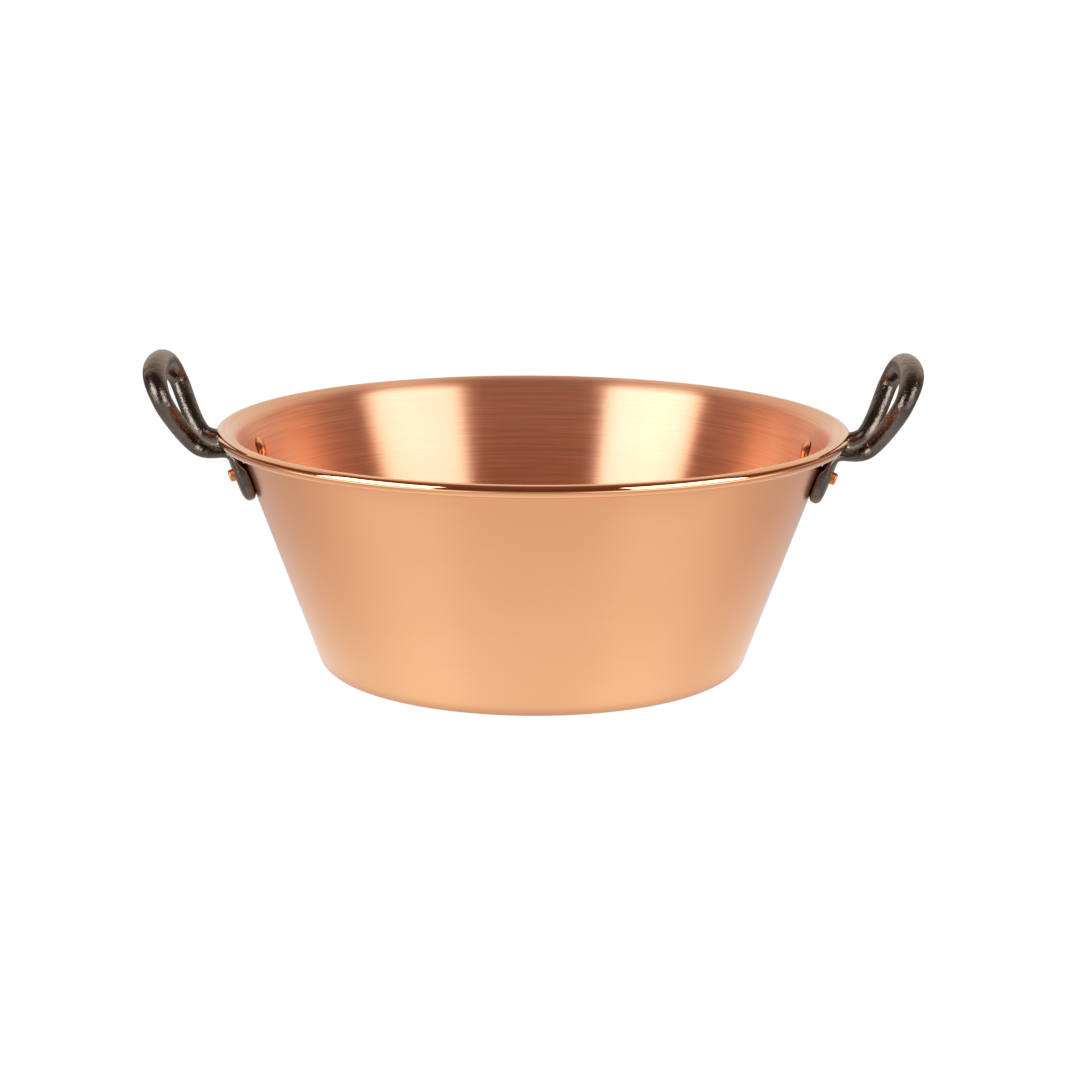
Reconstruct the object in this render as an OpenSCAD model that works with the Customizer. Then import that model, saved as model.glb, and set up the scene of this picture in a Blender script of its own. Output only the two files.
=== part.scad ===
// Copper jam pan: a spun sheet bowl with sloping sides and a rolled rim, and two cast
// iron loop handles, each held by two copper rivets. Sizes are in millimetres.
// The bowl stands on z = 0 with its axis on Z. The handles are at +X and -X.

/* [Bowl] */
// Diameter over the rolled rim
rim_d = 360; // [320:1:420]
// Height from the ground to the top of the rim
bowl_h = 140; // [120:0.5:165]
// Diameter where the line of the outer wall meets the ground
foot_d = 241; // [210:0.5:275]
// Thickness of the copper sheet
sheet_t = 1.5; // [1:0.1:2]
// Outside radius of the corner between base and wall
corner_r = 11.5; // [8:0.5:20]

/* [Rolled rim] */
// Outside radius of the roll
roll_r = 3.5; // [3:0.1:4.2]
// Length of wall below the roll that turns outwards as a lip
lip_l = 6.2; // [5.4:0.1:8]
// How far the lip carries the roll out of the line of the wall
lip_out = 4; // [3:0.1:4.6]
// Gap that the end of the roll leaves to the sheet
roll_gap = 0.4; // [0.2:0.1:0.8]

/* [Rivets] */
// Distance between the two rivets of a handle
rivet_pitch = 66; // [58:0.5:76]
// Depth of the rivets below the top of the rim
rivet_drop = 20.8; // [18.5:0.1:24]
// Diameter of the rivet's shank
shank_d = 7; // [5:0.1:8.5]
// Width of the gap round the shank in its holes
shank_gap = 0.05; // [0.02:0.01:0.15]
// Diameter of the head inside the bowl
head_d = 12.8; // [11:0.1:14]
// Height of the head above the sheet
head_h = 2.2; // [1.6:0.1:3]
// Length of shank that stands out of the handle's foot
tail_h = 2.8; // [1.6:0.1:4]
// Rounding of the shank's end
tail_edge = 0.8; // [0.4:0.1:1.2]

/* [Handle loop] */
// Distance between the middles of the legs where the loop is widest
loop_w = 73; // [64:0.5:84]
// Height of the middle of the grip above the rim
loop_rise = 33.6; // [28:0.1:41]
// Distance of the middle of the grip outside the rim
loop_reach = 33.1; // [28:0.1:40]
// How far down the loop from the middle of the grip it is widest
shoulder_l = 17; // [13:0.1:21]
// Angle between the loop and the ground
loop_lean = 66; // [58:1:74]
// Diameter of the grip
grip_d = 14.4; // [11:0.1:16]
// Width of the legs at the widest place, in the plane of the loop
leg_w = 13.8; // [11:0.1:15.5]
// Thickness of the legs at the widest place
leg_t = 11.2; // [9:0.1:13]

/* [Handle neck and feet] */
// Distance between the middles of the legs where they are closest
waist_w = 36.5; // [32:0.5:44]
// Distance of the legs outside the rim where they are closest
waist_reach = 9.3; // [8:0.1:12]
// Depth of the legs below the top of the rim where they are closest
waist_drop = 10.2; // [9:0.1:12]
// Angle between the legs and the ground where they are closest
waist_lean = 30; // [24:1:36]
// Thickness of the legs where they are closest
waist_t = 10.4; // [8.4:0.1:11]
// Width of the legs where they pass under the rim, along the rim
neck_w = 20; // [16:0.5:22]
// Thickness of the legs where they pass under the rim
neck_t = 6.4; // [5.4:0.1:7.4]
// Gap between the legs and the underside of the rim
neck_gap = 0.6; // [0.5:0.1:1.6]
// Inside radius of the bend from the legs down into the feet
neck_bend = 1.8; // [1.2:0.1:2.6]
// Width of each foot
foot_w = 24; // [19:0.5:27]
// Thickness of each foot at its crest
foot_t = 7.6; // [6:0.1:9]
// Length of each foot below the rivet
foot_l = 17; // [14:0.5:20]

/* [Hidden] */
$fn = 96;
// Steps along each bend of the sheet
corner_steps = 7;
lip_steps = 7;
roll_steps = 30;
// Rings along each stretch of half the loop
loop_steps = 12;
neck_steps = 9;
bend_steps = 6;
foot_steps = 5;
tip_steps = 8;
// Squareness of the end of the loop, and how strongly the loop keeps its way at the
// shoulder, at the waist and at the neck
grip_square = 1.34;
shoulder_pull = 1.1;
waist_pull = 0.6;
neck_pull = 18;
// How fast the legs spread at the waist, and how far over they come at the bend
waist_spread = 0.25;
bend_drift = 0.6;
// Squareness of the feet, and how far round their tips the last ring lies
foot_power = 0.8;
tip_cut = 89;

copper = [0.83, 0.52, 0.36];
bright_copper = [0.86, 0.47, 0.27];
iron = [0.25, 0.23, 0.22];

// The profile of the bowl has x as the radius and y as the height. The wall's inner
// face passes lip_out inside the roll, and that sets its lean.
rim_r = rim_d / 2;
wall_foot = [foot_d / 2, 0];
roll_c = [rim_r - roll_r, bowl_h - roll_r];
to_roll = roll_c - wall_foot;
roll_to_outer = roll_r + lip_out - sheet_t;
lean = atan2(to_roll.x, to_roll.y) - asin(roll_to_outer / norm(to_roll));
out = [cos(lean), -sin(lean)];
up = [sin(lean), cos(lean)];
corner_c = [wall_foot.x + corner_r * (tan(lean) - 1 / cos(lean)), corner_r];

// The lip is an arc that leaves the wall and runs smoothly into the roll
roll_to_inner = roll_r + lip_out;
lip_r = (lip_l * lip_l + roll_to_inner * roll_to_inner - roll_r * roll_r) / (2 * lip_out);
lip_c = roll_c - roll_to_inner * out - lip_l * up + lip_r * out;
lip_turn = asin(lip_l / (lip_r - roll_r));
// The roll goes over the top and round, until its end is roll_gap off the lip
lip_to_roll = lip_r - roll_r;
lip_to_end = lip_r - sheet_t - roll_gap;
end_cos = (lip_to_roll * lip_to_roll + roll_r * roll_r - lip_to_end * lip_to_end)
    / (2 * lip_to_roll * roll_r);
roll_turn = 180 + acos(end_cos);

// Rivets stand square to the wall, at the azimuth that gives their pitch
rivet_z = bowl_h - rivet_drop;
rivet_azimuth = asin(rivet_pitch / 2 / wall_r(rivet_z));
hole_d = shank_d + 2 * shank_gap;

// Outer radius of the wall at height z
function wall_r(z) = wall_foot.x + z * tan(lean);
function polar(r, a) = r * [cos(a), sin(a)];
function unit(v) = v / norm(v);
function ease(a, b, u) = a + (b - a) * u * u * (3 - 2 * u);

// Points along an arc about c that starts at the angle a
function arc(c, r, a, turn, steps, first = 0) =
    [for (i = [first:steps]) c + polar(r, a + turn * i / steps)];

// One face of the sheet from the base to the end of the roll, depth into the sheet from
// the face that is the inside of the bowl
function sheet_face(depth) = concat(
    arc(corner_c, corner_r - sheet_t + depth, -90, 90 - lean, corner_steps),
    arc(lip_c, lip_r - depth, 180 - lean, -lip_turn, lip_steps),
    arc(roll_c, roll_r - depth, 180 - lean - lip_turn, -roll_turn, roll_steps, first = 1)
);
function backwards(list) = [for (i = [len(list) - 1:-1:0]) list[i]];

module bowl_profile() {
    polygon(concat([[0, 0]], sheet_face(sheet_t), backwards(sheet_face(0)), [[0, sheet_t]]));
}

// Places things on the wall's outer face at a rivet, with +Z square to the wall.
// side is 0 on the right and 180 on the left, and the azimuth runs on from there.
module at_rivet(side, azimuth) {
    rotate(side + azimuth)
        translate([wall_r(rivet_z), 0, rivet_z])
            rotate([0, 90 + lean, 0])
                children();
}

module rivet_hole() {
    inner = sheet_t + head_h;
    translate([0, 0, -inner]) cylinder(h = inner + foot_t + tail_h, d = hole_d);
}

module bowl() {
    color(copper) difference() {
        rotate_extrude() bowl_profile();
        for (side = [0, 180], azimuth = [-rivet_azimuth, rivet_azimuth])
            at_rivet(side, azimuth) rivet_hole();
    }
}

// Shank with a rounded end, from inside the head out through the sheet and the foot
module shank_profile() {
    r = shank_d / 2;
    start = -sheet_t - head_h / 2;
    end = foot_t + tail_h;
    translate([0, start]) square([r, end - tail_edge - start]);
    translate([0, start]) square([r - tail_edge, end - start]);
    translate([r - tail_edge, end - tail_edge]) circle(tail_edge);
}

// Low dome inside the bowl. It is flat underneath, and stands in just far enough for its
// edge to clear the hollow of the wall.
module head_profile() {
    a = head_d / 2;
    dome_r = (a * a + head_h * head_h) / (2 * head_h);
    hollow_r = wall_r(rivet_z - a) / cos(lean) - sheet_t;
    seat = -sheet_t - a * a / (2 * hollow_r);
    intersection() {
        translate([0, seat - head_h + dome_r]) circle(dome_r);
        translate([0, seat - head_h]) square([a, head_h]);
    }
}

module rivet(side, azimuth) {
    color(bright_copper) at_rivet(side, azimuth) rotate_extrude() {
        shank_profile();
        head_profile();
    }
}

// Curve from p to q with the end slopes dp and dq, and its slope
function curve(p, dp, q, dq, u) =
    (1 + 2 * u) * (1 - u) * (1 - u) * p + u * (1 - u) * (1 - u) * dp
    + u * u * (3 - 2 * u) * q - u * u * (1 - u) * dq;
function slope(p, dp, q, dq, u) =
    6 * u * (1 - u) * (q - p) + (1 - u) * (1 - 3 * u) * dp + u * (3 * u - 2) * dq;

// Point at height z on the wall above the back right rivet, moved out square to the wall
rivet_out = [cos(rivet_azimuth) * out.x, sin(rivet_azimuth) * out.x, out.y];
rivet_down = -[cos(rivet_azimuth) * up.x, sin(rivet_azimuth) * up.x, up.y];
function on_wall(z, off) =
    [cos(rivet_azimuth) * wall_r(z), sin(rivet_azimuth) * wall_r(z), z] + off * rivet_out;

// Half of the loop, from the middle of the grip to the tip of the foot at the back
grip_c = [rim_r + loop_reach, 0, bowl_h + loop_rise];
grip_slope = [0, grip_square * loop_w, 0];
loop_down = [-cos(loop_lean), 0, -sin(loop_lean)];
shoulder_c = grip_c + [0, loop_w / 2, 0] + shoulder_l * loop_down;
shoulder_slope = shoulder_pull * shoulder_l * loop_down;
waist_c = [rim_r + waist_reach, waist_w / 2, bowl_h - waist_drop];
waist_way = [-cos(waist_lean), waist_spread, -sin(waist_lean)];
waist_slope = waist_pull * waist_w * waist_way;

// The leg passes under the rim at a slant, then bends down about bend_c into the foot,
// whose front stands foot_t off the wall. It comes in level, drift_l to one side of the
// foot, and moves over as it bends.
inward = [-cos(rivet_azimuth), -sin(rivet_azimuth), 0];
sideways = [-sin(rivet_azimuth), cos(rivet_azimuth), 0];
bend_r = neck_bend + neck_t / 2;
bend_turn = 90 - lean;
bend_l = bend_r * bend_turn * PI / 180;
bend_off = foot_t + neck_bend;
neck_z = bowl_h - 2 * roll_r - neck_gap - neck_t / 2;
bend_c = on_wall(neck_z - bend_r + bend_off * sin(lean), bend_off);
drift_l = bend_drift * bend_l;
neck_c = bend_c + [0, 0, bend_r] - drift_l * sideways;
neck_slope = neck_pull * unit(bend_l * inward + 2 * drift_l * sideways);
bend_end = bend_c - bend_r * rivet_out;
foot_c = on_wall(rivet_z, 0);
foot_slope = norm(foot_c - bend_end) * rivet_down;

// Each ring round the bar has its middle, the way the ring looks, the way its thickness
// faces, its half width and half thickness, and its power, which is 1 for an ellipse and
// less for a squarer ring
ring_n = 24;
function ring(c, way, face, w, t, power = 1) =
    let (
        across = unit(cross(way, face)),
        through = unit(cross(across, way))
    )
    [for (k = [0:ring_n - 1])
        let (o = cos(360 * k / ring_n), s = sin(360 * k / ring_n))
        c + w * sign(o) * pow(abs(o), power) * across
            + t * sign(s) * pow(abs(s), power) * through];

// Way that the thickness faces where the bar runs along d, as seen from the side
function side_face(d) = unit([-d.z, 0, d.x]);

grip_rings = [for (i = [0:loop_steps - 1])
    let (
        u = i / loop_steps,
        way = slope(grip_c, grip_slope, shoulder_c, shoulder_slope, u),
        fall = 6 * (1 - u) * (shoulder_c - grip_c) + (3 * u - 2) * shoulder_slope
    )
    ring(
        curve(grip_c, grip_slope, shoulder_c, shoulder_slope, u),
        way, side_face(fall),
        ease(grip_d, leg_w, u) / 2, ease(grip_d, leg_t, u) / 2
    )
];

leg_rings = [for (i = [0:loop_steps - 1])
    let (
        u = i / loop_steps,
        way = slope(shoulder_c, shoulder_slope, waist_c, waist_slope, u)
    )
    ring(
        curve(shoulder_c, shoulder_slope, waist_c, waist_slope, u),
        way, side_face(way),
        ease(leg_w, waist_t, u) / 2, ease(leg_t, waist_t, u) / 2
    )
];

neck_rings = [for (i = [0:neck_steps - 1])
    let (u = i / neck_steps)
    ring(
        curve(waist_c, waist_slope, neck_c, neck_slope, u),
        ease(unit(waist_way), inward, u), ease(side_face(waist_way), [0, 0, -1], u),
        ease(waist_t, neck_w, u) / 2, ease(waist_t, neck_t, u) / 2
    )
];

bend_rings = [for (i = [0:bend_steps - 1])
    let (
        u = i / bend_steps,
        a = bend_turn * u,
        off = sin(a) * inward + [0, 0, cos(a)]
    )
    ring(
        bend_c + bend_r * off - drift_l * (1 - u) * (1 - u) * sideways,
        cos(a) * inward - [0, 0, sin(a)], -off,
        ease(neck_w, foot_w, u / 2) / 2, neck_t / 2
    )
];

// Below the bend the bar's middle moves onto the wall while its front stays in place
foot_rings = [for (i = [0:foot_steps - 1])
    let (u = i / foot_steps)
    ring(
        curve(bend_end, foot_slope, foot_c, foot_slope, u),
        rivet_down, rivet_out,
        ease(neck_w, foot_w, (1 + u) / 2) / 2, ease(neck_t / 2, foot_t, u),
        ease(1, foot_power, u)
    )
];

// The tip is a half circle seen from the front. Its last ring is cut just short of the
// end, so that it has a size.
tip_rings = [for (i = [0:tip_steps])
    let (
        l = foot_l * sin(tip_cut * i / tip_steps),
        past = max(0, 1 - (foot_l - l) / (foot_w / 2))
    )
    ring(
        foot_c + l * rivet_down,
        rivet_down, rivet_out,
        foot_w / 2 * sqrt(1 - pow(past, 2)), foot_t * sqrt(1 - pow(past, 4)),
        foot_power
    )
];

half_rings = concat(grip_rings, leg_rings, neck_rings, bend_rings, foot_rings, tip_rings);
function mirrored(r) = [for (p = r) [p.x, -p.y, p.z]];
rings = [
    for (i = [len(half_rings) - 1:-1:1]) mirrored(half_rings[i]),
    for (r = half_rings) r
];

module loop_casting() {
    last = len(rings) - 1;
    polyhedron(
        points = [for (r = rings, p = r) p],
        faces = [
            [for (k = [0:ring_n - 1]) k],
            for (i = [0:last - 1], k = [0:ring_n - 1])
                let (a = i * ring_n + k, b = i * ring_n + (k + 1) % ring_n)
                    [a, a + ring_n, b + ring_n, b],
            [for (k = [ring_n - 1:-1:0]) last * ring_n + k]
        ]
    );
}

// The feet are cut to the outside of the wall, so that they lie on it
module handle(side) {
    color(iron) difference() {
        rotate(side) loop_casting();
        cylinder(h = bowl_h, r1 = wall_foot.x, r2 = wall_r(bowl_h));
        for (azimuth = [-rivet_azimuth, rivet_azimuth])
            at_rivet(side, azimuth) rivet_hole();
    }
}

bowl();
handle(0);  // handle_right
handle(180);  // handle_left
rivet(0, -rivet_azimuth);  // rivet_right_front
rivet(0, rivet_azimuth);  // rivet_right_back
rivet(180, rivet_azimuth);  // rivet_left_front
rivet(180, -rivet_azimuth);  // rivet_left_back
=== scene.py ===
"""Looks of the copper jam pan: bowl, two cast iron handles and four rivets, in metres."""

import math

import bpy
import numpy as np
from mathutils import Matrix, Vector


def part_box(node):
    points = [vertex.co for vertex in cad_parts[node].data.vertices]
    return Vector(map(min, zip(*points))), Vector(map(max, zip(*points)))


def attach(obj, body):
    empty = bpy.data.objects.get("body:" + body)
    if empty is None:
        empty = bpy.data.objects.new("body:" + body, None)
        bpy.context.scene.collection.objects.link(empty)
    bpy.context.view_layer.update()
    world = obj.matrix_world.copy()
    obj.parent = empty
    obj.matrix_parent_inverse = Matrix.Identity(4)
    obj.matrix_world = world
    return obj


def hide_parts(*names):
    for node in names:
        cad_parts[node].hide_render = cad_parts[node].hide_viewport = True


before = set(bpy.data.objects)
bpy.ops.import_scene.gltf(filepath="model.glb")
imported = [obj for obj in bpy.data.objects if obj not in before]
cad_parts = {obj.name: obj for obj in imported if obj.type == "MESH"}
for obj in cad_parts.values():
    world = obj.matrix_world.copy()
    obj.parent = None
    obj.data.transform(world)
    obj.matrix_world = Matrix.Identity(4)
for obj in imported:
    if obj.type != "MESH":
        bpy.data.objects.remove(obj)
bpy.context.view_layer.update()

# Sizes in millimetres, as the pan was measured. MM turns them into metres.
MM = 0.001
RIM_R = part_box("bowl")[1].y / MM
BOWL_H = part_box("bowl")[1].z / MM
FOOT_R = 120.5
SHEET_T = 1.5
CORNER_R = 11.5
ROLL_R = 3.5
LIP_L = 6.2
LIP_OUT = 4.0
ROLL_GAP = 0.4

RIVET_PITCH = 66.0
RIVET_DROP = 20.8
SHANK_R = 3.5
HEAD_R = 6.4
HEAD_H = 2.2
TAIL_H = 2.8
TAIL_EDGE = 1.1
HEAD_EDGE = 0.5

LOOP_W = 73.0
# 0.04 less than in the CAD, because the rounder bar would rise above the flat sides there
LOOP_RISE = 33.56
LOOP_REACH = 33.1
SHOULDER_L = 17.0
LOOP_LEAN = 66.0
GRIP_D = 14.4
LEG_W = 13.8
LEG_T = 11.2
WAIST_W = 36.5
WAIST_REACH = 9.3
WAIST_DROP = 10.2
WAIST_LEAN = 30.0
WAIST_T = 10.4
NECK_W = 20.0
NECK_T = 6.4
NECK_GAP = 0.6
NECK_BEND = 1.8
FOOT_W = 24.0
FOOT_T = 7.6
FOOT_L = 17.0
FOOT_POWER = 0.6
FOOT_BACK_POWER = 0.42
# How far the back of a foot's section lies inside the wall
FOOT_SINK = 0.5
# Points of a foot that lie deeper than this in the wall are moved out to it
SUNK = 0.3
# Half the width of the zone round a rivet in which that is done
SEAT_HALF = 25.0

# Shape of the bar's curves, with the names of the CAD source
GRIP_SQUARE = 1.34
SHOULDER_PULL = 1.1
WAIST_SPREAD = 0.25
WAIST_PULL = 0.6
BEND_DRIFT = 0.6
NECK_PULL = 18.0
# Turn of the foot's last section along its round end, in degrees: at 90 it would be a point
FOOT_END = 89

SIDES = {"right": 1, "left": -1}

# Steps of the meshes, along a profile or the bar and round it
BASE_STEPS = 6
CORNER_STEPS = 24
WALL_STEPS = 8
LIP_STEPS = 24
ROLL_STEPS = 60
BOWL_SEGMENTS = 384
DOME_STEPS = 16
EDGE_STEPS = 10
RIVET_SEGMENTS = 64
LOOP_STEPS = 48
NECK_STEPS = 28
BEND_STEPS = 16
FOOT_STEPS = 32
RING_N = 72
SEATING_ROUNDS = 8

# Colours, as linear light
COPPER = (0.93, 0.435, 0.225)
COPPER_WARM = (0.92, 0.41, 0.205)
# The inside's two coppers are paler than the outside's: painted light, making up for light the
# lamps don't bring into the bowl
COPPER_INSIDE_PAINTED_LIGHT = (1.0, 0.50, 0.30)
COPPER_DEEP_PAINTED_LIGHT = (1.0, 0.47, 0.275)
HEAD_COPPER = ((0.84, 0.32, 0.13), (0.92, 0.38, 0.17))
TAIL_COPPER = ((0.55, 0.17, 0.06), (0.72, 0.26, 0.10))
IRON_DARK = (0.088, 0.071, 0.060)
IRON_LIGHT = (0.160, 0.133, 0.115)
IRON_EDGE = (0.93, 0.83, 0.76)
FLOOR_DARK = (0.09, 0.09, 0.09)
FLOOR_PALE = (0.11, 0.11, 0.11)

# Marks of spinning and brushing: noise cells up the wall, and by direction round the bowl
LINES_PER_METRE = 1900
LINES_ROUND = 2.5
# The radius is taken as at least this, because directions have no meaning on the axis
AXIS_R = 0.001
LINE_DEPTH = 0.0002
# Part of the noise's range that makes the shades of the lines
LINE_RANGE = (0.38, 0.62)
# Turn that draws the gloss out across the lines, as a share of a full turn
GLOSS_TURN = 0.25
# Noise cells per metre, and the cast skin's bumps
COPPER_CLOUDS = 14.0
IRON_GRAIN = 900.0
IRON_SWELL = 160.0
IRON_CLOUDS = 45.0
GRAIN_WEIGHT = 0.35
SWELL_WEIGHT = 1.6
SKIN_BUMP = 0.6
SKIN_DEPTH = 0.0008
IRON_ROUGHNESS = (0.18, 0.30)
FLOOR_CLOUDS = 3.0

# Floor and table, in metres. The floor lies just under the base, so that the two never mix.
FLOOR_HALF = 60.0
FLOOR_Z = -0.0002
FLOOR_LIGHT = 1.25
TABLE_HALF = 8.0
TABLE_Z = 0.0005
TABLE_LIGHT = 1.25
TABLE_REACH = 1.5
# The table's light falls off this much faster to the sides
TABLE_SQUEEZE = 1.4
# Its green, as a share of its red and blue
TABLE_GREEN = 0.99
# Distance from the pan's axis in metres, and share of the light there
TABLE_FALLOFF = (
    (0.137, 0.97), (0.2, 0.88), (0.28, 0.74), (0.4, 0.59), (0.64, 0.48), (0.98, 0.3), (1.4, 0.2),
)
# Where the shadow under the pan ends, from full to none, and its light
SHADOW_R = (0.106, 0.129)
SHADOW = (0.15, 0.145, 0.14)
# Middle, reach and light of the painted glare in front of each soft box
GLARE_X, GLARE_Y = 1.2, -0.9
GLARE_REACH = (0.8, 1.05)
GLARE = (1.7, 1.66, 1.62)

# Soft boxes: their near and far edge on the right, by x and y, their heights, and their light
BOX_NEAR = (0.98, -1.474)
BOX_FAR = (1.78, -0.40)
BOX_LOW = 0.3
BOX_TOP = 1.6
SOFT_BOX_LIGHT = {-1: (6.2, 6.3, 6.4), 1: (5.5, 5.4, 5.4)}

# Room: each light, the range of directions over which it comes in, and what it's measured along
ROOM_FRONT = (0.116, 0.052, 0.033)
ROOM_TOP = (0.20, 0.12, 0.09)
ROOM_RANGE = (-0.75, 0.6)
ROOM_UP = 0.6
ROOM_ASIDE = -0.6
HORIZON = (0.55, 0.49, 0.45)
HORIZON_RANGE = (0.08, 0.2)
CORNER_GLOW = (1.10, 1.02, 0.96)
CORNER_RANGE = (0.535, 0.6)
CORNER_BACK = 0.4
BACKDROP = (0.95, 0.90, 0.82)
BACKDROP_RANGE = (0.80, 0.95)
BACKDROP_UP = 0.8
BACKDROP_Y_RANGE = (0.35, 0.55)

# The light that shows as white, and the tones of lower lights
WHITE_LIGHT = 1.25
TONES = ((0.15, 0.15), (0.3, 0.3), (0.5, 0.495), (0.75, 0.70), (0.93, 0.805), (1.05, 0.875))

# Camera: turns in radians, distances in metres, and the photograph's own size in pixels
CAMERA_TILT = 0.2171
CAMERA_ROLL = 0.0053
CAMERA_DISTANCE = 1.6206
CAMERA_TARGET = (0.00425, 0, 0.07248)
FOCAL_PX = 2815.3
FRAME_PX = 1080
SENSOR_MM = 36


def polar(r, degrees):
    """The plane point at a radius and an angle."""
    a = math.radians(degrees)
    return np.array([r * math.cos(a), r * math.sin(a)])


def unit(v):
    """v with a length of 1."""
    v = np.asarray(v, float)
    return v / np.linalg.norm(v)


def ease(a, b, u):
    """From a to b as u goes from 0 to 1, level at both ends."""
    return a + (b - a) * u * u * (3 - 2 * u)


# Profile of the sheet, with x as the radius and y as the height
ROLL_C = np.array([RIM_R - ROLL_R, BOWL_H - ROLL_R])
TO_ROLL = ROLL_C - np.array([FOOT_R, 0])
LEAN = math.degrees(
    math.atan2(*TO_ROLL) - math.asin((ROLL_R + LIP_OUT - SHEET_T) / np.linalg.norm(TO_ROLL))
)
TAN_LEAN, COS_LEAN, SIN_LEAN = (f(math.radians(LEAN)) for f in (math.tan, math.cos, math.sin))
OUT = np.array([COS_LEAN, -SIN_LEAN])
UP = np.array([SIN_LEAN, COS_LEAN])
CORNER_C = np.array([FOOT_R + CORNER_R * (TAN_LEAN - 1 / COS_LEAN), CORNER_R])
ROLL_TO_INNER = ROLL_R + LIP_OUT
LIP_R = (LIP_L**2 + ROLL_TO_INNER**2 - ROLL_R**2) / (2 * LIP_OUT)
LIP_C = ROLL_C - ROLL_TO_INNER * OUT - LIP_L * UP + LIP_R * OUT
LIP_TURN = math.degrees(math.asin(LIP_L / (LIP_R - ROLL_R)))
LIP_TO_ROLL = LIP_R - ROLL_R
LIP_TO_END = LIP_R - SHEET_T - ROLL_GAP
ROLL_TURN = 180 + math.degrees(
    math.acos((LIP_TO_ROLL**2 + ROLL_R**2 - LIP_TO_END**2) / (2 * LIP_TO_ROLL * ROLL_R))
)


def wall_r(z):
    """Radius of the wall's outer face at a height."""
    return FOOT_R + z * TAN_LEAN


def arc(c, r, start, turn, steps, first=0):
    """Points of an arc about c, with its angles in degrees."""
    return [c + polar(r, start + turn * i / steps) for i in range(first, steps + 1)]


def sheet_face(depth):
    """One face of the sheet, from the base's middle to the roll's end, and each point's finish.

    depth is 0 for the bowl's inside, which the roll turns outwards, and SHEET_T for the other.
    """
    corner = arc(CORNER_C, CORNER_R - SHEET_T + depth, -90, 90 - LEAN, CORNER_STEPS)
    lip = arc(LIP_C, LIP_R - depth, 180 - LEAN, -LIP_TURN, LIP_STEPS)
    roll_start = 180 - LEAN - LIP_TURN
    roll = arc(ROLL_C, ROLL_R - depth, roll_start, -ROLL_TURN, ROLL_STEPS, first=1)
    rise = lip[0] - corner[-1]
    wall = [corner[-1] + rise * i / WALL_STEPS for i in range(1, WALL_STEPS)]
    base = [corner[0] * [i / BASE_STEPS, 1] for i in range(1, BASE_STEPS)]
    flat = base + corner + wall + lip
    marks = ["outside" if depth else "inside"] * len(flat) + ["roll"] * len(roll)
    return flat + roll, marks


# Meshes
def add_mesh(name, verts, faces, materials, face_materials=None, sharp=40):
    """A smooth mesh object with the given materials, from points in millimetres."""
    mesh = bpy.data.meshes.new(name)
    mesh.from_pydata([Vector(v) * MM for v in verts], [], faces)
    for m in materials:
        mesh.materials.append(m)
    if face_materials is not None:
        mesh.polygons.foreach_set("material_index", face_materials)
    mesh.polygons.foreach_set("use_smooth", [True] * len(mesh.polygons))
    mesh.update()
    mesh.set_sharp_from_angle(angle=math.radians(sharp))
    obj = bpy.data.objects.new(name, mesh)
    bpy.context.scene.collection.objects.link(obj)
    return obj


def revolved(profile, segments):
    """A profile turned about Z, which starts and ends on the axis, and each face's place on it."""
    inner = profile[1:-1]
    turns = [2 * math.pi * k / segments for k in range(segments)]
    verts = [(r * math.cos(a), r * math.sin(a), z) for r, z in inner for a in turns]
    first, last = len(verts), len(verts) + 1
    verts += [(0, 0, profile[0][1]), (0, 0, profile[-1][1])]
    faces, rows = [], []
    for i in range(len(inner) - 1):
        for k in range(segments):
            a, b = i * segments + k, i * segments + (k + 1) % segments
            faces.append((a, b, b + segments, a + segments))
            rows.append(i)
    end = (len(inner) - 1) * segments
    for k in range(segments):
        n = (k + 1) % segments
        faces.append((first, n, k))
        rows.append(0)
        faces.append((last, end + k, end + n))
        rows.append(len(inner) - 2)
    return verts, faces, rows


def make_bowl(finishes):
    """The bowl's sheet, closed at the base's middle, with a material for each finish."""
    outer, outer_marks = sheet_face(SHEET_T)
    inner, inner_marks = sheet_face(0)
    profile = [(0, 0)] + outer + inner[::-1] + [(0, SHEET_T)]
    marks = outer_marks + inner_marks[::-1]
    verts, faces, rows = revolved(profile, BOWL_SEGMENTS)
    names = list(finishes)
    face_finishes = [names.index(marks[row]) for row in rows]
    return add_mesh("bowl_sheet", verts, faces, list(finishes.values()), face_finishes)


# Handles: the bar's middle and section along half the loop, mirrored for the other half
RIVET_Z = BOWL_H - RIVET_DROP
RIVET_AZIMUTH = math.asin(RIVET_PITCH / 2 / wall_r(RIVET_Z))
COS_AZ, SIN_AZ = math.cos(RIVET_AZIMUTH), math.sin(RIVET_AZIMUTH)
RIVET_OUT = np.array([COS_AZ * COS_LEAN, SIN_AZ * COS_LEAN, -SIN_LEAN])
RIVET_DOWN = -np.array([COS_AZ * SIN_LEAN, SIN_AZ * SIN_LEAN, COS_LEAN])


def on_wall(z, off):
    """A point over the wall, in the back right rivet's direction, off outwards from the metal."""
    return np.array([COS_AZ * wall_r(z), SIN_AZ * wall_r(z), z]) + off * RIVET_OUT


def curve(p, dp, q, dq, u):
    """Point at u on the curve from p to q that leaves along dp and comes in along dq."""
    return (
        (1 + 2 * u) * (1 - u) ** 2 * p + u * (1 - u) ** 2 * dp
        + u * u * (3 - 2 * u) * q - u * u * (1 - u) * dq
    )


def slope(p, dp, q, dq, u):
    """Direction of that curve at u."""
    return 6 * u * (1 - u) * (q - p) + (1 - u) * (1 - 3 * u) * dp + u * (3 * u - 2) * dq


def side_face(d):
    """The loop's upper side, square to a direction along the bar."""
    return unit([-d[2], 0, d[0]])


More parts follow.
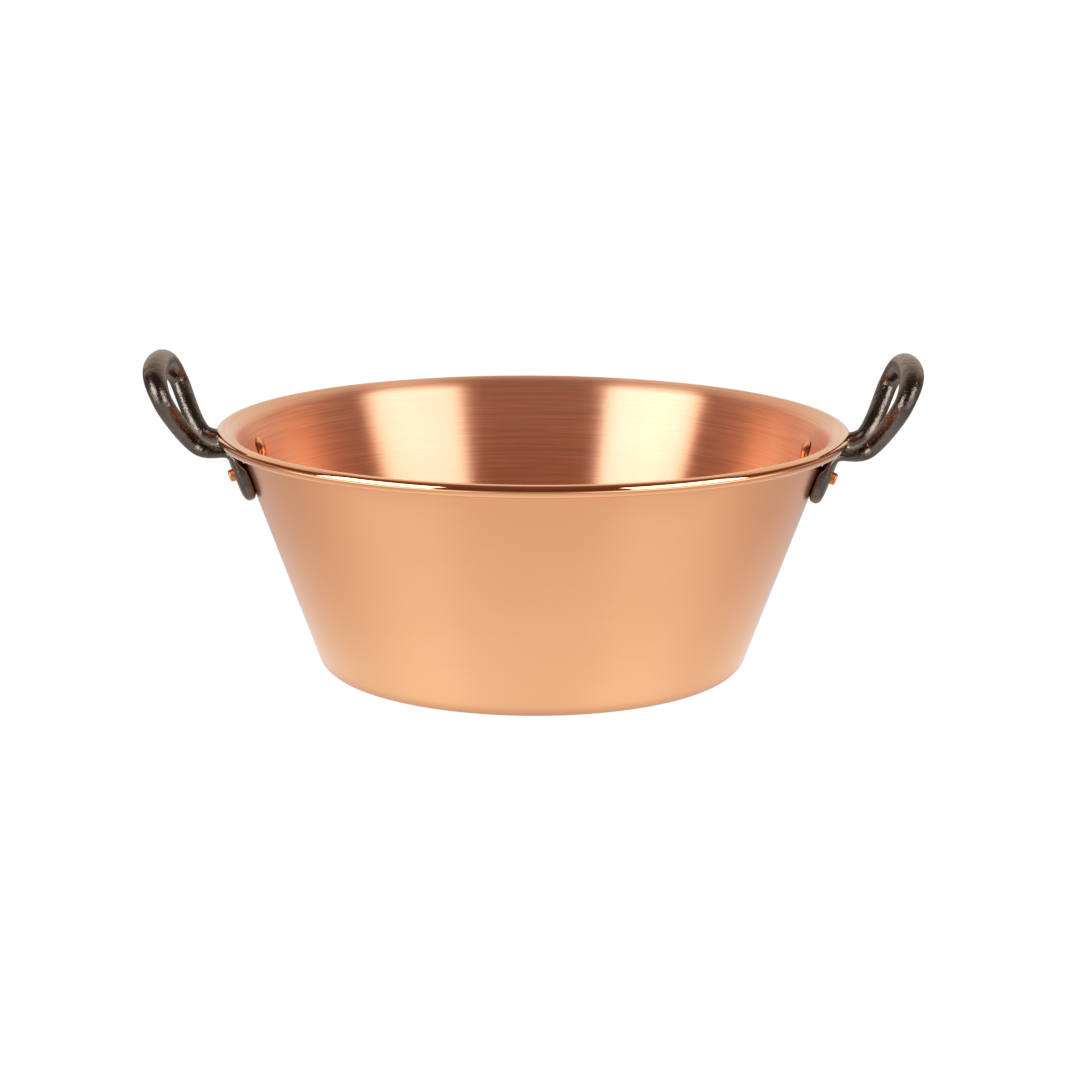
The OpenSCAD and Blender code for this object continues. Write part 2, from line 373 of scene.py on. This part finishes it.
def ring(c, way, face, w, t, power=1.0, back_power=1.0):
    """A section of the bar, w and t from its middle, round at power 1 and boxier below it."""
    across = unit(np.cross(way, face))
    through = unit(np.cross(across, way))
    turn = 2 * np.pi * np.arange(RING_N) / RING_N
    cos, sin = np.cos(turn), np.sin(turn)
    bulge = np.where(sin > 0, power, back_power)
    side = w * np.sign(cos) * np.abs(cos) ** bulge
    front = t * np.sign(sin) * np.abs(sin) ** bulge
    return c + side[:, None] * across + front[:, None] * through


def steps(count):
    """Even steps from 0 up to, but not including, 1."""
    return np.arange(count) / count


def direction(lean, spread_y=0.0):
    """Inwards to the bowl and down by a lean in degrees."""
    lean = math.radians(lean)
    return np.array([-math.cos(lean), spread_y, -math.sin(lean)])


# Joint between the loop and the neck
WAIST_C = np.array([RIM_R + WAIST_REACH, WAIST_W / 2, BOWL_H - WAIST_DROP])
WAIST_WAY = direction(WAIST_LEAN, WAIST_SPREAD)
WAIST_SLOPE = WAIST_PULL * WAIST_W * WAIST_WAY


def loop_rings():
    """Sections of the bar from the middle of the grip round the shoulder to the waist."""
    grip_c = np.array([RIM_R + LOOP_REACH, 0, BOWL_H + LOOP_RISE])
    grip_slope = np.array([0, GRIP_SQUARE * LOOP_W, 0])
    down = direction(LOOP_LEAN)
    shoulder_c = grip_c + [0, LOOP_W / 2, 0] + SHOULDER_L * down
    shoulder_slope = SHOULDER_PULL * SHOULDER_L * down
    rings = []
    for u in steps(LOOP_STEPS):
        way = slope(grip_c, grip_slope, shoulder_c, shoulder_slope, u)
        # The slope without the grip's own part, divided by u, so that it holds at the start too
        fall = 6 * (1 - u) * (shoulder_c - grip_c) + (3 * u - 2) * shoulder_slope
        c = curve(grip_c, grip_slope, shoulder_c, shoulder_slope, u)
        w, t = ease(GRIP_D, LEG_W, u) / 2, ease(GRIP_D, LEG_T, u) / 2
        rings.append(ring(c, way, side_face(fall), w, t))
    for u in steps(LOOP_STEPS):
        way = slope(shoulder_c, shoulder_slope, WAIST_C, WAIST_SLOPE, u)
        c = curve(shoulder_c, shoulder_slope, WAIST_C, WAIST_SLOPE, u)
        w, t = ease(LEG_W, WAIST_T, u) / 2, ease(LEG_T, WAIST_T, u) / 2
        rings.append(ring(c, way, side_face(way), w, t))
    return rings


def neck_rings():
    """Sections from the waist under the roll and round the bend, and where the bend ends."""
    inward = np.array([-COS_AZ, -SIN_AZ, 0])
    sideways = np.array([-SIN_AZ, COS_AZ, 0])
    bend_r = NECK_BEND + NECK_T / 2
    bend_turn = math.radians(90 - LEAN)
    bend_l = bend_r * bend_turn
    bend_off = FOOT_T + NECK_BEND
    neck_z = BOWL_H - 2 * ROLL_R - NECK_GAP - NECK_T / 2
    bend_c = on_wall(neck_z - bend_r + bend_off * SIN_LEAN, bend_off)
    drift_l = BEND_DRIFT * bend_l
    neck_c = bend_c + [0, 0, bend_r] - drift_l * sideways
    neck_slope = NECK_PULL * unit(bend_l * inward + 2 * drift_l * sideways)
    rings = []
    for u in steps(NECK_STEPS):
        way = ease(unit(WAIST_WAY), inward, u)
        face = ease(side_face(WAIST_WAY), np.array([0, 0, -1]), u)
        c = curve(WAIST_C, WAIST_SLOPE, neck_c, neck_slope, u)
        w, t = ease(WAIST_T, NECK_W, u) / 2, ease(WAIST_T, NECK_T, u) / 2
        rings.append(ring(c, way, face, w, t))
    for u in steps(BEND_STEPS):
        a = bend_turn * u
        off = math.sin(a) * inward + [0, 0, math.cos(a)]
        c = bend_c + bend_r * off - drift_l * (1 - u) ** 2 * sideways
        way = math.cos(a) * inward - [0, 0, math.sin(a)]
        rings.append(ring(c, way, -off, ease(NECK_W, FOOT_W, u / 2) / 2, NECK_T / 2))
    return rings, bend_c - bend_r * RIVET_OUT


def foot_rings(start):
    """Sections down the wall from the bend's end to the rivet, and on to the foot's round end."""
    foot_c = on_wall(RIVET_Z, (FOOT_T - FOOT_SINK) / 2)
    foot_half_t = (FOOT_T + FOOT_SINK) / 2
    foot_slope = np.linalg.norm(foot_c - start) * RIVET_DOWN
    rings = []
    for u in steps(BEND_STEPS):
        c = curve(start, foot_slope, foot_c, foot_slope, u)
        w = ease(NECK_W, FOOT_W, (1 + u) / 2) / 2
        t = ease(NECK_T / 2, foot_half_t, u)
        powers = ease(1, FOOT_POWER, u), ease(1, FOOT_BACK_POWER, u)
        rings.append(ring(c, RIVET_DOWN, RIVET_OUT, w, t, *powers))
    for i in range(FOOT_STEPS + 1):
        along = FOOT_L * math.sin(math.radians(FOOT_END * i / FOOT_STEPS))
        past = max(0, 1 - (FOOT_L - along) / (FOOT_W / 2))
        w = FOOT_W / 2 * math.sqrt(1 - past**2)
        t = foot_half_t * math.sqrt(1 - past**4)
        c = foot_c + along * RIVET_DOWN
        rings.append(ring(c, RIVET_DOWN, RIVET_OUT, w, t, FOOT_POWER, FOOT_BACK_POWER))
    return rings


def half_loop():
    """All sections of the right handle's back half."""
    neck, bend_end = neck_rings()
    return np.array(loop_rings() + neck + foot_rings(bend_end))


def seated(points):
    """Points of the foot that lie inside the wall come out to SUNK under its outer face."""
    points = points.copy()
    for _ in range(SEATING_ROUNDS):
        gap = wall_r(points[..., 2]) - SUNK - np.hypot(points[..., 0], points[..., 1])
        near = np.abs(points[..., 1] - RIVET_PITCH / 2) < SEAT_HALF
        points += (np.clip(gap, 0, None) * near * COS_LEAN)[..., None] * RIVET_OUT
    return points


def make_handle(name, side, material):
    """One casting: the half loop and its mirror image, closed at the ends of both feet."""
    half = seated(half_loop())
    mirror = half[:0:-1] * [1, -1, 1]
    rings = np.concatenate([mirror, half])
    flip = [[side, 0, 0], [0, side, 0], [0, 0, 1]]
    points = rings.reshape(-1, 3) @ np.array(flip, float)
    last = len(rings) - 1
    faces = [tuple(range(RING_N))]
    for i in range(last):
        for k in range(RING_N):
            a, b = i * RING_N + k, i * RING_N + (k + 1) % RING_N
            faces.append((a, a + RING_N, b + RING_N, b))
    faces.append(tuple(last * RING_N + k for k in reversed(range(RING_N))))
    return add_mesh(name, points, faces, [material], sharp=55)


def make_rivet(name, side, azimuth, head_material, tail_material):
    """One rivet, built along its axis from the domed head inside to the stub outside."""
    dome_h = HEAD_H - HEAD_EDGE
    dome_r = (HEAD_R**2 + dome_h**2) / (2 * dome_h)
    hollow_r = wall_r(RIVET_Z - HEAD_R) / COS_LEAN - SHEET_T
    seat = -SHEET_T - HEAD_R**2 / (2 * hollow_r)
    half = math.degrees(math.asin(HEAD_R / dome_r))
    dome = arc(np.array([0, seat - HEAD_H + dome_r]), dome_r, -90, half, DOME_STEPS, first=1)
    head = [(0, seat - HEAD_H)] + dome + [(HEAD_R - HEAD_EDGE, seat)]
    end = FOOT_T + TAIL_H
    edge_c = np.array([SHANK_R - TAIL_EDGE, end - TAIL_EDGE])
    edge = arc(edge_c, TAIL_EDGE, 0, 90, EDGE_STEPS)
    profile = head + [(SHANK_R, seat)] + edge + [(0, end)]
    verts, faces, rows = revolved(profile, RIVET_SEGMENTS)
    place = (
        Matrix.Rotation(side + azimuth, 4, "Z")
        @ Matrix.Translation((wall_r(RIVET_Z), 0, RIVET_Z))
        @ Matrix.Rotation(math.radians(90 + LEAN), 4, "Y")
    )
    points = [place @ Vector(v) for v in verts]
    of_tail = [int(row > len(dome)) for row in rows]
    return add_mesh(name, points, faces, [head_material, tail_material], of_tail, sharp=50)


# Materials
def new_material(name, **values):
    """A material with these shader values, its node tree and its shader."""
    material = bpy.data.materials.new(name)
    material.use_nodes = True
    shader = material.node_tree.nodes["Principled BSDF"]
    for key, value in values.items():
        shader.inputs[key.replace("_", " ")].default_value = value
    return material, material.node_tree, shader


def add_node(tree, kind, **settings):
    """A node, with each setting given to its socket or its property."""
    node = tree.nodes.new(kind)
    for key, value in settings.items():
        if key in node.inputs:
            node.inputs[key].default_value = value
        else:
            setattr(node, key, value)
    return node


def math_node(tree, operation, *values):
    """The result of an operation on numbers and sockets."""
    node = add_node(tree, "ShaderNodeMath", operation=operation)
    for socket, value in zip(node.inputs, values):
        if isinstance(value, (int, float)):
            socket.default_value = value
        else:
            tree.links.new(value, socket)
    return node.outputs[0]


def noise(tree, vector, scale, detail=3.0, roughness=0.55):
    node = add_node(tree, "ShaderNodeTexNoise", Scale=scale, Detail=detail, Roughness=roughness)
    tree.links.new(vector, node.inputs["Vector"])
    return node.outputs["Fac"]


def spread(tree, value, low, high, at=(0.3, 0.7)):
    """value, from the range at, spread over low to high."""
    node = add_node(tree, "ShaderNodeMapRange")
    tree.links.new(value, node.inputs["Value"])
    for socket, number in zip(node.inputs[1:5], (*at, low, high)):
        socket.default_value = number
    return node.outputs[0]


def between(tree, factor, first, second):
    """The colour between two, by factor."""
    node = add_node(tree, "ShaderNodeMix", data_type="RGBA")
    tree.links.new(factor, node.inputs["Factor"])
    node.inputs["A"].default_value = (*first, 1)
    node.inputs["B"].default_value = (*second, 1)
    return node.outputs["Result"]


def over(tree, factor, below, colour):
    """A node's colour, with another over it by factor."""
    node = add_node(tree, "ShaderNodeMix", data_type="RGBA")
    tree.links.new(factor, node.inputs["Factor"])
    tree.links.new(below, node.inputs["A"])
    node.inputs["B"].default_value = (*colour, 1)
    return node.outputs["Result"]


def bump(tree, shader, height, strength, distance):
    node = add_node(tree, "ShaderNodeBump", Strength=strength, Distance=distance)
    tree.links.new(height, node.inputs["Height"])
    tree.links.new(node.outputs[0], shader.inputs["Normal"])


def turned_lines(tree):
    """The plain coordinates, and some drawn out round the bowl for the marks of spinning.

    They go round with the direction from the axis, and up with the height and radius together.
    """
    place = add_node(tree, "ShaderNodeTexCoord").outputs["Object"]
    split = add_node(tree, "ShaderNodeSeparateXYZ")
    tree.links.new(place, split.inputs[0])
    x, y, z = split.outputs
    squares = [math_node(tree, "MULTIPLY", part, part) for part in (x, y)]
    r = math_node(tree, "SQRT", math_node(tree, "ADD", *squares))
    r = math_node(tree, "MAXIMUM", r, AXIS_R)
    join = add_node(tree, "ShaderNodeCombineXYZ")
    for socket, part in zip(join.inputs, (x, y)):
        share = math_node(tree, "DIVIDE", part, r)
        tree.links.new(math_node(tree, "MULTIPLY", share, LINES_ROUND), socket)
    height = math_node(tree, "MULTIPLY", math_node(tree, "ADD", z, r), LINES_PER_METRE)
    tree.links.new(height, join.inputs[2])
    return place, join.outputs[0]


def copper(
    name, roughness, anisotropy, rough_change, line_bump,
    shade=1.0, colours=(COPPER, COPPER_WARM), metallic=1.0,
):
    """Copper whose fine turned lines go down to shade, with its gloss drawn out across them."""
    material, tree, shader = new_material(name, Metallic=metallic, Anisotropic=anisotropy)
    if anisotropy:
        shader.inputs["Anisotropic Rotation"].default_value = GLOSS_TURN
        tangent = add_node(tree, "ShaderNodeTangent", direction_type="RADIAL", axis="Z")
        tree.links.new(tangent.outputs[0], shader.inputs["Tangent"])
    place, lines = turned_lines(tree)
    fine = noise(tree, lines, 1.0, detail=2.0, roughness=0.6)
    cloud = noise(tree, place, COPPER_CLOUDS, detail=2.0)
    colour = between(tree, spread(tree, cloud, 0, 1), *colours)
    lined = add_node(tree, "ShaderNodeMix", data_type="RGBA", blend_type="MULTIPLY")
    lined.inputs["Factor"].default_value = 1.0
    tree.links.new(colour, lined.inputs["A"])
    line_shade = spread(tree, fine, shade, 1.0, at=LINE_RANGE)
    tree.links.new(line_shade, lined.inputs["B"])
    tree.links.new(lined.outputs["Result"], shader.inputs["Base Color"])
    tree.links.new(
        spread(tree, fine, roughness - rough_change, roughness + rough_change),
        shader.inputs["Roughness"],
    )
    bump(tree, shader, fine, line_bump, LINE_DEPTH)
    return material


def iron(name):
    """Cast iron with a dark brown, slightly oily skin."""
    material, tree, shader = new_material(name, Metallic=1.0)
    shader.inputs["Specular Tint"].default_value = (*IRON_EDGE, 1)
    place = add_node(tree, "ShaderNodeTexCoord").outputs["Object"]
    grain = noise(tree, place, IRON_GRAIN, detail=4.0, roughness=0.6)
    swell = noise(tree, place, IRON_SWELL, detail=3.0)
    cloud = noise(tree, place, IRON_CLOUDS, detail=3.0)
    colour = between(tree, spread(tree, cloud, 0, 1), IRON_DARK, IRON_LIGHT)
    tree.links.new(colour, shader.inputs["Base Color"])
    tree.links.new(spread(tree, cloud, *IRON_ROUGHNESS), shader.inputs["Roughness"])
    height = math_node(tree, "MULTIPLY", swell, SWELL_WEIGHT)
    height = math_node(tree, "MULTIPLY_ADD", grain, GRAIN_WEIGHT, height)
    bump(tree, shader, height, SKIN_BUMP, SKIN_DEPTH)
    return material


# Pieces
finishes = {
    # The inside's paler colours are painted light
    "inside": copper(
        "copper_inside", roughness=0.31, anisotropy=1.0, rough_change=0.03, line_bump=0.18,
        shade=0.79, colours=(COPPER_DEEP_PAINTED_LIGHT, COPPER_INSIDE_PAINTED_LIGHT), metallic=0.88,
    ),
    "roll": copper(
        "copper_roll", roughness=0.06, anisotropy=0.0, rough_change=0.01, line_bump=0.01,
    ),
    "outside": copper(
        "copper_outside", roughness=0.30, anisotropy=0.9, rough_change=0.02, line_bump=0.03,
        shade=0.98,
    ),
}
iron_cast = iron("iron_cast")
copper_head = copper(
    "copper_head", roughness=0.14, anisotropy=0.0, rough_change=0.04, line_bump=0.05,
    colours=HEAD_COPPER,
)
copper_tail = copper(
    "copper_tail", roughness=0.42, anisotropy=0.0, rough_change=0.05, line_bump=0.15,
    colours=TAIL_COPPER,
)


def keep(piece, slot, *nodes):
    """The piece stands for these CAD nodes, on the pan's only body."""
    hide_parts(*nodes)
    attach(piece, "root")


keep(make_bowl(finishes), "copper_sheet", "bowl")
for side_name, sign in SIDES.items():
    node_name = f"handle_{side_name}"
    keep(make_handle(node_name + "_casting", sign, iron_cast), "handle_iron", node_name)
    turn = 0 if sign > 0 else math.pi
    for end_name, y_sign in {"front": -1, "back": 1}.items():
        node_name = f"rivet_{side_name}_{end_name}"
        azimuth = sign * y_sign * RIVET_AZIMUTH
        rivet = make_rivet(node_name + "_copper", turn, azimuth, copper_head, copper_tail)
        keep(rivet, "rivet_copper", node_name)


# Floor, lights and camera
def flat_square(name, half, z, material, wall_h=0):
    """A level square, with a wall on each side if wall_h is given."""
    corners = [(-half, -half, z), (half, -half, z), (half, half, z), (-half, half, z)]
    faces = [(0, 1, 2, 3)]
    if wall_h:
        corners += [(x, y, z + wall_h) for x, y, z in corners]
        faces += [(i, (i + 1) % 4, (i + 1) % 4 + 4, i + 4) for i in range(4)]
    mesh = bpy.data.meshes.new(name)
    mesh.from_pydata(corners, [], faces)
    mesh.materials.append(material)
    obj = bpy.data.objects.new(name, mesh)
    bpy.context.scene.collection.objects.link(obj)
    return obj


def make_floor():
    """A plain white floor with white walls, seen by the camera and in no reflection."""
    material, tree, shader = new_material("floor_white", Roughness=0.9, Specular_IOR_Level=0.0)
    place = add_node(tree, "ShaderNodeTexCoord").outputs["Object"]
    cloud = noise(tree, place, FLOOR_CLOUDS, detail=2.0)
    tree.links.new(between(tree, cloud, FLOOR_DARK, FLOOR_PALE), shader.inputs["Base Color"])
    shader.inputs["Emission Color"].default_value = (1, 1, 1, 1)
    shader.inputs["Emission Strength"].default_value = FLOOR_LIGHT
    material.cycles.emission_sampling = "NONE"
    floor = flat_square("floor", FLOOR_HALF, FLOOR_Z, material, wall_h=FLOOR_HALF)
    floor.visible_diffuse = False
    floor.visible_glossy = False


def distance(tree, place):
    """Distance from the origin."""
    node = add_node(tree, "ShaderNodeVectorMath", operation="LENGTH")
    tree.links.new(place, node.inputs[0])
    return node.outputs["Value"]


def table_falloff(tree, place):
    """The table's painted glow, which falls off away from the pan and faster to the sides."""
    squeezed = add_node(tree, "ShaderNodeVectorMath", operation="MULTIPLY")
    tree.links.new(place, squeezed.inputs[0])
    squeezed.inputs[1].default_value = (TABLE_SQUEEZE, 1, 1)
    ramp = add_node(tree, "ShaderNodeValToRGB")
    stops = ramp.color_ramp.elements
    stops[0].position = TABLE_FALLOFF[0][0] / TABLE_REACH
    stops[1].position = TABLE_FALLOFF[-1][0] / TABLE_REACH
    for at, _ in TABLE_FALLOFF[1:-1]:
        stops.new(at / TABLE_REACH)
    for stop, (_, part) in zip(stops, TABLE_FALLOFF):
        stop.color = (part, part * TABLE_GREEN, part, 1)
    share = math_node(tree, "DIVIDE", distance(tree, squeezed.outputs[0]), TABLE_REACH)
    tree.links.new(share, ramp.inputs["Fac"])
    return ramp.outputs["Color"]


def make_table():
    """The glowing table that only the pan sees, just over the floor: no lamp lights it, and its
    glow has painted glare and a painted shadow under the pan.
    """
    material, tree, shader = new_material("table_painted_glow", Roughness=1.0, Specular_IOR_Level=0.0)
    shader.inputs["Base Color"].default_value = (0, 0, 0, 1)
    shader.inputs["Emission Strength"].default_value = TABLE_LIGHT
    material.cycles.emission_sampling = "NONE"
    place = add_node(tree, "ShaderNodeTexCoord").outputs["Object"]
    light = table_falloff(tree, place)
    split = add_node(tree, "ShaderNodeSeparateXYZ")
    tree.links.new(place, split.inputs[0])
    aside = math_node(tree, "SUBTRACT", math_node(tree, "ABSOLUTE", split.outputs["X"]), GLARE_X)
    ahead = math_node(tree, "SUBTRACT", split.outputs["Y"], GLARE_Y)
    squared = math_node(tree, "MULTIPLY", aside, aside)
    squared = math_node(tree, "MULTIPLY_ADD", ahead, ahead, squared)
    glare = spread(tree, squared, 1, 0, at=[reach**2 for reach in GLARE_REACH])
    light = over(tree, glare, light, GLARE)
    light = over(tree, spread(tree, distance(tree, place), 1, 0, at=SHADOW_R), light, SHADOW)
    tree.links.new(light, shader.inputs["Emission Color"])
    table = flat_square("table", TABLE_HALF, TABLE_Z, material)
    table.visible_camera = False


def panel(name, low_near, low_far, top_near, top_far, radiance):
    """A rectangle of soft light that faces the pan and isn't seen, given by its corners."""
    low_near, low_far, top_near, top_far = map(Vector, (low_near, low_far, top_near, top_far))
    centre = (low_near + low_far + top_near + top_far) / 4
    across, rise = low_far - low_near, top_near - low_near
    facing = across.cross(rise).normalized()
    if facing.dot(-centre) < 0:
        facing = -facing
    light = bpy.data.lights.new(name, "AREA")
    light.shape = "RECTANGLE"
    light.size, light.size_y = across.length, rise.length
    strength = max(radiance)
    light.color = [part / strength for part in radiance]
    light.energy = strength * math.pi * light.size * light.size_y
    lamp = bpy.data.objects.new(name, light)
    x = across.normalized()
    z = -facing
    y = z.cross(x)
    lamp.matrix_world = Matrix.Translation(centre) @ Matrix((x, y, z)).transposed().to_4x4()
    lamp.visible_camera = False
    bpy.context.scene.collection.objects.link(lamp)


def side_light(sign):
    """A tall soft box to one side of the front."""
    near, far = ((sign * x, y) for x, y in (BOX_NEAR, BOX_FAR))
    low = (*near, BOX_LOW), (*far, BOX_LOW)
    top = (*near, BOX_TOP), (*far, BOX_TOP)
    panel("soft_box", *low, *top, SOFT_BOX_LIGHT[sign])


def make_world():
    """A dim room with a pale horizon, light from high at both sides and a bright backdrop."""
    world = bpy.data.worlds.new("room")
    world.use_nodes = True
    bpy.context.scene.world = world
    tree = world.node_tree
    split = add_node(tree, "ShaderNodeSeparateXYZ")
    tree.links.new(add_node(tree, "ShaderNodeTexCoord").outputs["Generated"], split.inputs[0])
    x, y, z = split.outputs
    aside = math_node(tree, "ABSOLUTE", x)
    raised = math_node(tree, "MULTIPLY_ADD", z, ROOM_UP, y)
    raised = math_node(tree, "MULTIPLY_ADD", aside, ROOM_ASIDE, raised)
    light = between(tree, spread(tree, raised, 0, 1, at=ROOM_RANGE), ROOM_FRONT, ROOM_TOP)
    light = over(tree, spread(tree, z, 1, 0, at=HORIZON_RANGE), light, HORIZON)
    corner = math_node(tree, "MULTIPLY", aside, z)
    corner = math_node(tree, "MULTIPLY_ADD", y, CORNER_BACK, corner)
    light = over(tree, spread(tree, corner, 0, 1, at=CORNER_RANGE), light, CORNER_GLOW)
    back = math_node(tree, "MULTIPLY_ADD", z, BACKDROP_UP, y)
    back = spread(tree, back, 0, 1, at=BACKDROP_RANGE)
    behind = spread(tree, y, 0, 1, at=BACKDROP_Y_RANGE)
    light = over(tree, math_node(tree, "MULTIPLY", back, behind), light, BACKDROP)
    tree.links.new(light, tree.nodes["Background"].inputs["Color"])


def set_tones():
    """Straight tones with a soft shoulder, as the photograph has in its highlights."""
    view = bpy.context.scene.view_settings
    view.view_transform = "Standard"
    view.use_curve_mapping = True
    curves = view.curve_mapping
    curves.white_level = (WHITE_LIGHT, WHITE_LIGHT, WHITE_LIGHT)
    # The first three are red, green and blue, and the fourth is for all together
    combined = curves.curves[3]
    for light, tone in TONES:
        combined.points.new(light / WHITE_LIGHT, tone)
    curves.update()


def make_camera():
    """The photograph's view, from a fit to the rim, the base and the sides."""
    ahead = Vector((0, math.cos(CAMERA_TILT), -math.sin(CAMERA_TILT)))
    level = Vector((1, 0, 0))
    upright = Vector((0, math.sin(CAMERA_TILT), math.cos(CAMERA_TILT)))
    right = math.cos(CAMERA_ROLL) * level + math.sin(CAMERA_ROLL) * upright
    up = math.cos(CAMERA_ROLL) * upright - math.sin(CAMERA_ROLL) * level
    data = bpy.data.cameras.new("photo_camera")
    data.sensor_width = SENSOR_MM
    data.lens = FOCAL_PX / FRAME_PX * SENSOR_MM
    camera = bpy.data.objects.new("photo_camera", data)
    turn = Matrix((right, up, -ahead)).transposed().to_4x4()
    place = Vector(CAMERA_TARGET) - ahead * CAMERA_DISTANCE
    camera.matrix_world = Matrix.Translation(place) @ turn
    bpy.context.scene.collection.objects.link(camera)
    bpy.context.scene.camera = camera


make_floor()
make_table()
for sign in SIDES.values():
    side_light(sign)
make_world()
make_camera()
set_tones()
